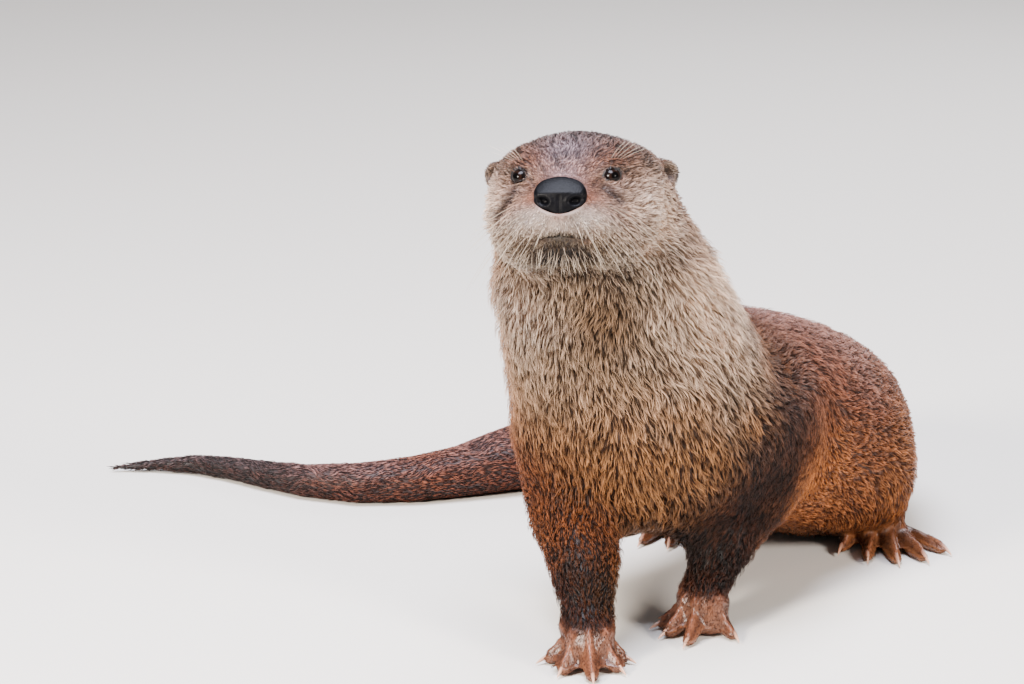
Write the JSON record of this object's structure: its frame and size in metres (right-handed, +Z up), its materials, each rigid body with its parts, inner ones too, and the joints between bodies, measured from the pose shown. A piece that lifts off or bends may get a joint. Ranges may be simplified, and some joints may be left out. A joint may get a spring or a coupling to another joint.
{
  "type": "river otter",
  "caption": "Life-size still model of a North American river otter, resting with its head and forequarters raised, hind body curled round and tail laid along the floor.",
  "frame": {"origin": "on the floor, under the middle of the bounding box", "axes": "-Y is the way the animal faces, +X its left side, along which the tail and hind body spread the footprint, +Z up from the floor"},
  "size_m": [0.5944, 0.4978, 0.3325],
  "materials": {
    "coat_brown": "short dense fur lying flat, damp sheen",
    "coat_pale": "pale throat fur in small pointed tufts",
    "paw_skin": "dark skin under very short sparse hair",
    "nose_leather": "finely grained wet skin",
    "eye": "polished, wet, almost black",
    "claw_horn": "smooth horn, a little translucent"
  },
  "bodies": {
    "root": {"nose_pad": "nose_leather", "eye_left": "eye", "ear_left": "coat_brown", "eye_right": "eye", "ear_right": "coat_brown", "head": "coat_brown", "neck": "coat_pale", "chest": "coat_brown", "loin": "coat_brown", "hips": "coat_brown", "tail_base": "coat_brown", "tail_middle": "coat_brown", "tail_tip": "coat_brown", "front_leg_right": "coat_brown", "claw_front_right_1": "claw_horn", "claw_front_right_2": "claw_horn", "claw_front_right_3": "claw_horn", "claw_front_right_4": "claw_horn", "claw_front_right_5": "claw_horn", "paw_front_right": "paw_skin", "front_leg_left": "coat_brown", "claw_front_left_1": "claw_horn", "claw_front_left_2": "claw_horn", "claw_front_left_3": "claw_horn", "claw_front_left_4": "claw_horn", "claw_front_left_5": "claw_horn", "paw_front_left": "paw_skin", "hind_leg_right": "coat_brown", "claw_hind_right_1": "claw_horn", "claw_hind_right_2": "claw_horn", "claw_hind_right_3": "claw_horn", "claw_hind_right_4": "claw_horn", "claw_hind_right_5": "claw_horn", "paw_hind_right": "paw_skin", "hind_leg_left": "coat_brown", "claw_hind_left_1": "claw_horn", "claw_hind_left_2": "claw_horn", "claw_hind_left_3": "claw_horn", "claw_hind_left_4": "claw_horn", "claw_hind_left_5": "claw_horn", "paw_hind_left": "paw_skin"}
  },
  "joints": []
}
